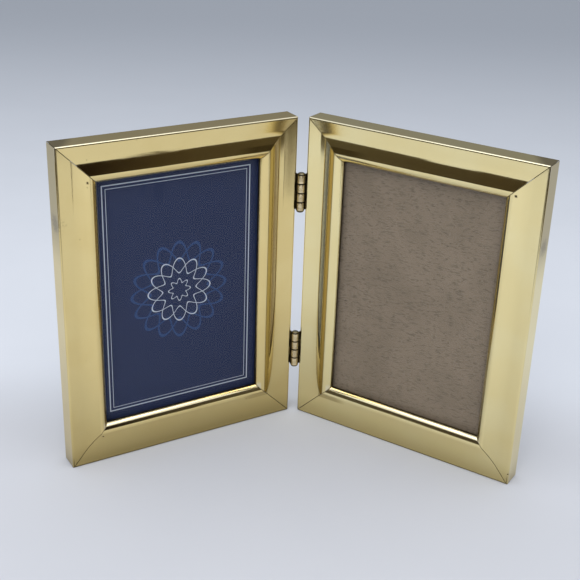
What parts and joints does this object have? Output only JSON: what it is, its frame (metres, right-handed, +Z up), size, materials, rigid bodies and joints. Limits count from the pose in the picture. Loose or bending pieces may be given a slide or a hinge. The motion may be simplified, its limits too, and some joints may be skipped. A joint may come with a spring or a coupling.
{
  "type": "hinged double photo frame",
  "caption": "Upright brass photo frames with mitred cove mouldings, glass and velour backs, joined by butt hinges so that they stand like an open book and fold face to face.",
  "frame": {"origin": "middle of the box's footprint, on the surface that the frame stands on", "axes": "+X along the spread of the two frames, -Y the way the faces look, +Z up the hinge pins"},
  "size_m": [0.2098, 0.068, 0.153],
  "materials": {
    "moulding": "polished",
    "hinges": "polished",
    "hinge_pins": "satin",
    "turn_buttons": "satin",
    "rivets": "satin",
    "corner_keys": "zinc plated",
    "glass": "clear",
    "insert_card": "matt",
    "packing_board": "matt",
    "back_board": "matt",
    "velour": "short pile"
  },
  "bodies": {
    "left_panel": {"left_back_board": "back_board", "left_back_velour": "velour", "left_bottom_rail": "moulding", "left_button_rivets": "rivets", "left_corner_keys": "corner_keys", "left_glass": "glass", "left_hinge_stile": "moulding", "left_insert_card": "insert_card", "left_leaf_rivets": "rivets", "left_outer_stile": "moulding", "left_packing_board": "packing_board", "left_top_rail": "moulding", "lower_hinge_left_leaf": "hinges", "lower_hinge_pin": "hinge_pins", "upper_hinge_left_leaf": "hinges", "upper_hinge_pin": "hinge_pins"},
    "right_panel": {"lower_hinge_right_leaf": "hinges", "right_back_board": "back_board", "right_back_velour": "velour", "right_bottom_rail": "moulding", "right_button_rivets": "rivets", "right_corner_keys": "corner_keys", "right_glass": "glass", "right_hinge_stile": "moulding", "right_leaf_rivets": "rivets", "right_outer_stile": "moulding", "right_packing_board": "packing_board", "right_top_rail": "moulding", "upper_hinge_right_leaf": "hinges"},
    "left_bottom_rail_button": {"left_bottom_rail_button": "turn_buttons"},
    "left_hinge_stile_button": {"left_hinge_stile_button": "turn_buttons"},
    "left_outer_stile_button": {"left_outer_stile_button": "turn_buttons"},
    "left_top_rail_button": {"left_top_rail_button": "turn_buttons"},
    "right_bottom_rail_button": {"right_bottom_rail_button": "turn_buttons"},
    "right_hinge_stile_button": {"right_hinge_stile_button": "turn_buttons"},
    "right_outer_stile_button": {"right_outer_stile_button": "turn_buttons"},
    "right_top_rail_button": {"right_top_rail_button": "turn_buttons"}
  },
  "joints": [
    {"name": "panel_fold", "type": "hinge", "parent": "left_panel", "child": "right_panel", "pos_m": [0, 0.02446, 0], "axis": [0, 0, 1], "range_deg": [-117, 63]},
    {"name": "left_bottom_rail_button_turn", "type": "hinge", "parent": "left_panel", "child": "left_bottom_rail_button", "pos_m": [-0.05656, 0.0047, 0.0076], "axis": [-0.5225, 0.8526, 0], "continuous": true},
    {"name": "left_hinge_stile_button_turn", "type": "hinge", "parent": "left_panel", "child": "left_hinge_stile_button", "pos_m": [-0.01431, 0.03059, 0.0765], "axis": [-0.5225, 0.8526, 0], "continuous": true},
    {"name": "left_outer_stile_button_turn", "type": "hinge", "parent": "left_panel", "child": "left_outer_stile_button", "pos_m": [-0.09881, -0.02119, 0.0765], "axis": [-0.5225, 0.8526, 0], "continuous": true},
    {"name": "left_top_rail_button_turn", "type": "hinge", "parent": "left_panel", "child": "left_top_rail_button", "pos_m": [-0.05656, 0.0047, 0.1454], "axis": [-0.5225, 0.8526, 0], "continuous": true},
    {"name": "right_bottom_rail_button_turn", "type": "hinge", "parent": "right_panel", "child": "right_bottom_rail_button", "pos_m": [0.05656, 0.0047, 0.0076], "axis": [0.5225, 0.8526, 0], "continuous": true},
    {"name": "right_hinge_stile_button_turn", "type": "hinge", "parent": "right_panel", "child": "right_hinge_stile_button", "pos_m": [0.01431, 0.03059, 0.0765], "axis": [0.5225, 0.8526, 0], "continuous": true},
    {"name": "right_outer_stile_button_turn", "type": "hinge", "parent": "right_panel", "child": "right_outer_stile_button", "pos_m": [0.09881, -0.02119, 0.0765], "axis": [0.5225, 0.8526, 0], "continuous": true},
    {"name": "right_top_rail_button_turn", "type": "hinge", "parent": "right_panel", "child": "right_top_rail_button", "pos_m": [0.05656, 0.0047, 0.1454], "axis": [0.5225, 0.8526, 0], "continuous": true}
  ]
}
